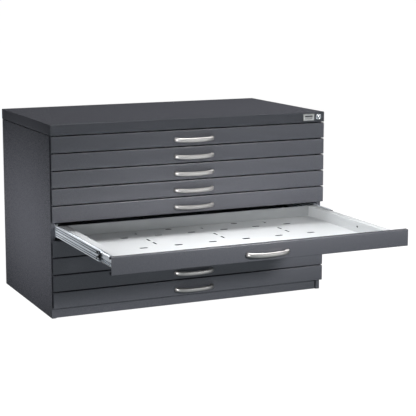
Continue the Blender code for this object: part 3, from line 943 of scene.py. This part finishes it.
def rosette_profile(radius, proud, plug_radius, back):
    """Section of the lock's barrel and domed rosette: (radius, height over the cover's face)."""
    bore = plug_radius + LOCK_PLAY
    profile = [(bore, -back), (BARREL_RADIUS, -back), (BARREL_RADIUS, ROSETTE_GAP),
               (radius - RIM_EDGE, ROSETTE_GAP)]
    for step in range(RIM_STEPS + 1):
        angle = math.pi / 2 * step / RIM_STEPS
        profile.append((radius - RIM_ROUND + RIM_ROUND * math.cos(angle),
                        RIM_START + (proud - RIM_LOSS) * math.sin(angle)))
    outer, middle, inner = (proud - level for level in DISH_LEVELS)
    profile += [(plug_radius + DISH_WIDE, outer), (bore + LOCK_CHAMFER, middle),
                (bore, inner), (bore, -back)]
    return profile


def build_lock():
    """Chrome rosette with a domed rim, and a plug with a keyway."""
    lock_low, lock_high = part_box("lock_housing")
    plug_low, plug_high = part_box("lock_plug")
    x, z = (lock_low.x + lock_high.x) / 2, (lock_low.z + lock_high.z) / 2
    radius = (lock_high.x - lock_low.x) / 2
    plug_radius = (plug_high.x - plug_low.x) / 2
    back = lock_high.y - FACE_Y
    place = facing((0, -1, 0), (x, FACE_Y, z))
    profile = rosette_profile(radius, FACE_Y - lock_low.y, plug_radius, back)
    show("lock_rosette", turned(profile, place, steps=64), CHROME, "cabinet",
         ["lock_housing"])

    face = FACE_Y - plug_low.y
    plug = [(0.0, -back), (plug_radius, -back), (plug_radius, face - PLUG_EDGE),
            (plug_radius - PLUG_CHAMFER, face - PLUG_SET_BACK), (0.0, face - PLUG_SET_BACK)]
    half_width, half_height = KEYWAY_HALF
    mesh_tool = bmesh.new()
    add_box(mesh_tool, (x - half_width, FACE_Y - face + KEYWAY_Y[0], z - half_height),
            (x + half_width, FACE_Y + KEYWAY_Y[1], z + half_height))
    body = cut(turned(plug, place, steps=48), mesh_of(mesh_tool, "keyway"))
    show("lock_core", body, CHROME, "lock_plug", ["lock_plug"])


def rounded_rectangle(width, height, radius):
    corners = [(-width / 2, -height / 2), (width / 2, -height / 2),
               (width / 2, height / 2), (-width / 2, height / 2)]
    return rounded_path(corners, radius, steps=6, closed=True)


def prism(outline, centre, front, back):
    """An outline in X and Z about a centre, from front to back along Y."""
    mesh_tool = bmesh.new()
    verts = [mesh_tool.verts.new((centre[0] + x, front, centre[1] + z)) for x, z in outline]
    face = mesh_tool.faces.new(verts)
    grown = bmesh.ops.extrude_face_region(mesh_tool, geom=[face])["geom"]
    moved = [part for part in grown if isinstance(part, bmesh.types.BMVert)]
    bmesh.ops.translate(mesh_tool, vec=(0, back - front, 0), verts=moved)
    return mesh_of(mesh_tool, "prism")


def build_label():
    """Label holder with rounded corners and a raised border round a blank ruled card."""
    holder_low, holder_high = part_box("label_holder")
    width, height = holder_high.x - holder_low.x, holder_high.z - holder_low.z
    centre = ((holder_low.x + holder_high.x) / 2, (holder_low.z + holder_high.z) / 2)
    face = holder_low.y
    corner, window_corner, card_corner = LABEL_CORNERS
    clear_width, clear_height = width - 2 * LABEL_BORDER, height - 2 * LABEL_BORDER
    plate = prism(rounded_rectangle(width, height, corner), centre, face, holder_high.y)
    window = rounded_rectangle(clear_width, clear_height, window_corner)
    recess = prism(window, centre, face + WINDOW_Y[0], face + WINDOW_Y[1])
    frame_mesh = bevelled(cut(plate, recess), LABEL_BEVEL, segments=2)
    show("label_frame", frame_mesh, LABEL_METAL, "cabinet", ["label_holder"])

    inset = rounded_rectangle(clear_width - CARD_PLAY, clear_height - CARD_PLAY, card_corner)
    card = prism(inset, centre, face + CARD_Y[0], face + CARD_Y[1])
    show("label_card", card, CARD, "cabinet", ())
    rules = label_rules(centre, width * LABEL_RULE_SHARE, face + CARD_Y[0])
    show("label_rules", rules, CARD_INK, "cabinet", ())


def label_rules(centre, reach, card_face):
    """The bar and rules printed on the card."""
    rules = []
    for level, half in LABEL_RULES:
        line = [(-reach, -half), (reach, -half), (reach, half), (-reach, half)]
        rules.append(prism(line, (centre[0], centre[1] + level), card_face - INK_HALF,
                           card_face + INK_HALF))
    return joined("rules", rules)


def build_back_rivets():
    """Rivets that hold the back panel to the side walls' rear flanges and the bottom sheet."""
    back_low, back_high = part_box("back_panel")
    reach = low("top_cover").z - 2 * RIVET_LOWEST
    span = 2 * back_high.x - 2 * RIVET_ROW_X
    gaps = RIVETS - 1
    levels = [RIVET_LOWEST + index * reach / gaps for index in range(RIVETS)]
    heads = []
    for sign in SIDES.values():
        heads += [(sign * (back_high.x - RIVET_EDGE), z) for z in levels]
    heads += [(back_low.x + RIVET_ROW_X + index * span / gaps, RIVET_ROW_Z)
              for index in range(RIVETS)]
    parts = [dome((x, back_high.y, z), (0, 1, 0), *RIVET_HEAD) for x, z in heads]
    show("back_rivets", joined("rivets", parts), GRAPHITE, "cabinet", ())


def finish_kept_nodes():
    """Better materials for the CAD nodes that stay."""
    kept = {
        "side_panel_left": GRAPHITE, "side_panel_right": GRAPHITE, "back_panel": GRAPHITE,
        "base_pan": GRAPHITE, "top_cover": GRAPHITE,
        "rail_frame_left": ZINC_UPRIGHT, "rail_frame_right": ZINC_UPRIGHT,
    }
    for name, material in kept.items():
        node = NODES[name]
        for place in node.material_slots:
            place.material = material


# ---------------------------------------------------------------- stage, light and camera

FLOOR_RADIUS = 90.0
FLOOR_SIDES = 96
FLOOR_DROP = 0.0005
FLOOR_GREY = (0.12, 0.12, 0.12)

CAMERA_PLACE = Vector((-2.072, -4.985, 1.314))
CAMERA_YAW = 0.4303
CAMERA_PITCH = 0.1473
LENS = 111.4
SENSOR = 36.0
SHIFT_UP = -0.096
SIGHT = 500.0

# A spot's cone is this much wider than the pool of light it is given; its lamp is this wide
SPOT_MARGIN = 1.3
SPOT_LAMP = 0.35

# World: tint, strengths, and the directions over which its front light comes and goes
WORLD_TINT = (0.89, 0.97, 1.0, 1.0)
WORLD_FRONT = 0.41
WORLD_FILL = 0.022
FRONT_Y = (-0.1, -0.6)
FRONT_Z = (0.05, 0.30)

def build_stage():
    """A white floor that is seen, but throws no light back up at the cabinet."""
    mesh_tool = bmesh.new()
    bmesh.ops.create_circle(mesh_tool, cap_ends=True, segments=FLOOR_SIDES, radius=FLOOR_RADIUS)
    floor = bpy.data.objects.new("floor", mesh_of(mesh_tool, "floor"))
    floor.location.z = -FLOOR_DROP
    floor.visible_diffuse = False
    floor.visible_glossy = False
    floor.visible_shadow = False
    bpy.context.scene.collection.objects.link(floor)
    shader = Shader("floor_paper", FLOOR_GREY, 0.9)
    shader.set("Emission Color", (1.0, 1.0, 1.0, 1.0))
    shader.set("Emission Strength", 1.0)
    floor.data.materials.append(shader.material)


def placed_light(light, place, target):
    item = bpy.data.objects.new(light.name, light)
    item.location = place
    aim = (Vector(target) - Vector(place)).to_track_quat("-Z", "Y")
    item.rotation_euler = aim.to_euler()
    bpy.context.scene.collection.objects.link(item)
    return item


def soft_box(name, place, target, size, power):
    light = bpy.data.lights.new(name, "AREA")
    light.shape = "RECTANGLE"
    light.size, light.size_y = size
    light.energy = power
    return placed_light(light, place, target)


def soft_spot(name, place, target, pool, power):
    """A spot whose pool of light has a radius at its target and is wider than it is high."""
    radius, wide = pool
    light = bpy.data.lights.new(name, "SPOT")
    distance = (Vector(target) - Vector(place)).length
    light.spot_size = 2 * math.atan(radius * SPOT_MARGIN / distance)
    light.spot_blend = 1.0
    light.shadow_soft_size = SPOT_LAMP
    light.energy = power
    item = placed_light(light, place, target)
    item.scale = (wide, 1.0, 1.0)
    return item


def named(starts):
    """The pieces whose names start in one of these ways."""
    return [item for start in starts for item in bpy.data.objects if item.name.startswith(start)]


def keep_to(light, starts):
    """Let a light reach only some pieces."""
    group = bpy.data.collections.new(light.name + "_receivers")
    for piece in named(starts):
        group.objects.link(piece)
    light.light_linking.receiver_collection = group
    return group


def leave_out(light, starts):
    """Keep a light off some pieces."""
    for member in keep_to(light, starts).collection_objects:
        member.light_linking.link_state = "EXCLUDE"


# How the names of the pieces start that lamps are kept to or left off
TRAYS = ("tray_sheet",)
HANDLES = ("bow_handle",)
SLIDES = ("slide_channel", "slide_member")
COVER = ("top_cover",)
FRONTS = ("front_panel",)
BACK = ("back_",)

# Lamps: name, kind, place, target, a box's width and height or a spot's pool and how much
# wider it is, power in watts, and which pieces it is kept to or left off
LAMPS = (
    ("top", soft_box, (0.2, -0.25, 3.0), (0.2, -0.25, 0.4), (2.4, 1.4), 46.0,
     leave_out, TRAYS),
    ("top_right", soft_box, (2.2, -0.5, 1.9), (0.0, -0.5, 0.4), (1.4, 1.2), 30.0,
     None, ()),
    ("left_spot", soft_spot, (-4.5, -0.6, 0.8), (-0.6, 0.0, 0.34), (0.26, 2.4), 450.0,
     None, ()),
    ("left_rear_spot", soft_spot, (-4.0, 1.5, 0.8), (-0.6, 0.0, 0.34), (0.25, 2.5), 385.0,
     None, ()),
    ("tray_spot", soft_spot, (0.3, 0.30, 3.2), (0.0, -0.84, 0.36), (0.46, 2.1), 760.0,
     leave_out, FRONTS + COVER),
    ("tray_fill", soft_spot, (1.0, -1.3, 3.2), (0.35, -0.80, 0.36), (0.42, 1.5), 60.0,
     leave_out, FRONTS + COVER),
    ("tray_wall", soft_spot, (-0.3, -5.0, 0.76), (0.1, -0.33, 0.35), (0.10, 6.0), 200.0,
     keep_to, TRAYS),
    ("tray_side", soft_spot, (-2.5, -1.6, 1.6), (0.50, -0.70, 0.34), (0.30, 1.0), 370.0,
     keep_to, TRAYS),
    ("key", soft_spot, (1.75, -4.5, 1.75), (0.05, -0.5, 0.310), (0.27, 4.9), 850.0,
     leave_out, TRAYS + HANDLES + COVER),
    ("handle_glow", soft_box, (2.3, -4.6, 0.4), (0.0, -0.4, 0.4), (3.0, 1.4), 34.0,
     keep_to, HANDLES),
    ("handle_side", soft_box, (-3.2, -1.8, 0.25), (0.0, -0.4, 0.4), (1.0, 0.8), 60.0,
     keep_to, HANDLES),
    ("slide_glow", soft_box, (-3.0, -2.0, 0.8), (-0.58, -0.65, 0.36), (1.2, 1.0), 46.0,
     keep_to, SLIDES),
    ("metal_box", soft_box, (-1.0, -4.0, 3.4), (0.0, -0.4, 0.4), (4.0, 2.4), 95.0,
     None, ()),
    ("rear", soft_box, (0.7, 4.2, 1.3), (0.0, 0.33, 0.35), (1.6, 1.4), 80.0,
     keep_to, BACK + COVER),
)
REFLECTION_ONLY = ("metal_box",)
NO_REFLECTION = ("rear",)


def build_world():
    """Soft light from low in front, with a weak fill from all round."""
    world = bpy.data.worlds.new("studio")
    world.use_nodes = True
    tree = world.node_tree
    background = tree.nodes["Background"]
    background.inputs["Color"].default_value = WORLD_TINT
    place = tree.nodes.new("ShaderNodeTexCoord").outputs["Generated"]
    apart = tree.nodes.new("ShaderNodeSeparateXYZ")
    tree.links.new(place, apart.inputs["Vector"])

    def ranged(source, reach, lowest, highest):
        node = tree.nodes.new("ShaderNodeMapRange")
        tree.links.new(source, node.inputs["Value"])
        values = (*reach, lowest, highest)
        for socket, value in zip(("From Min", "From Max", "To Min", "To Max"), values):
            node.inputs[socket].default_value = value
        return node.outputs["Result"]

    forward = ranged(apart.outputs["Y"], FRONT_Y, 0.0, WORLD_FRONT)
    level = ranged(apart.outputs["Z"], FRONT_Z, 1.0, 0.0)
    light = tree.nodes.new("ShaderNodeMath")
    light.operation = "MULTIPLY_ADD"
    tree.links.new(forward, light.inputs[0])
    tree.links.new(level, light.inputs[1])
    light.inputs[2].default_value = WORLD_FILL
    tree.links.new(light.outputs["Value"], background.inputs["Strength"])
    bpy.context.scene.world = world


def build_light():
    build_world()
    for name, kind, place, target, size, power, rule, starts in LAMPS:
        lamp = kind(name, place, target, size, power)
        if rule:
            rule(lamp, starts)
        lamp.visible_diffuse = name not in REFLECTION_ONLY
        lamp.visible_glossy = name not in NO_REFLECTION


def build_camera():
    camera = bpy.data.cameras.new("camera")
    camera.lens = LENS
    camera.sensor_width = SENSOR
    camera.shift_y = SHIFT_UP
    camera.clip_end = SIGHT
    item = bpy.data.objects.new("camera", camera)
    item.location = CAMERA_PLACE
    item.rotation_euler = (math.pi / 2 - CAMERA_PITCH, 0.0, -CAMERA_YAW)
    bpy.context.scene.collection.objects.link(item)
    bpy.context.scene.camera = item


def main():
    build_drawers()
    build_lock()
    build_label()
    build_back_rivets()
    finish_kept_nodes()
    build_stage()
    build_light()
    build_camera()
    bpy.context.scene.view_settings.view_transform = "Standard"


main()
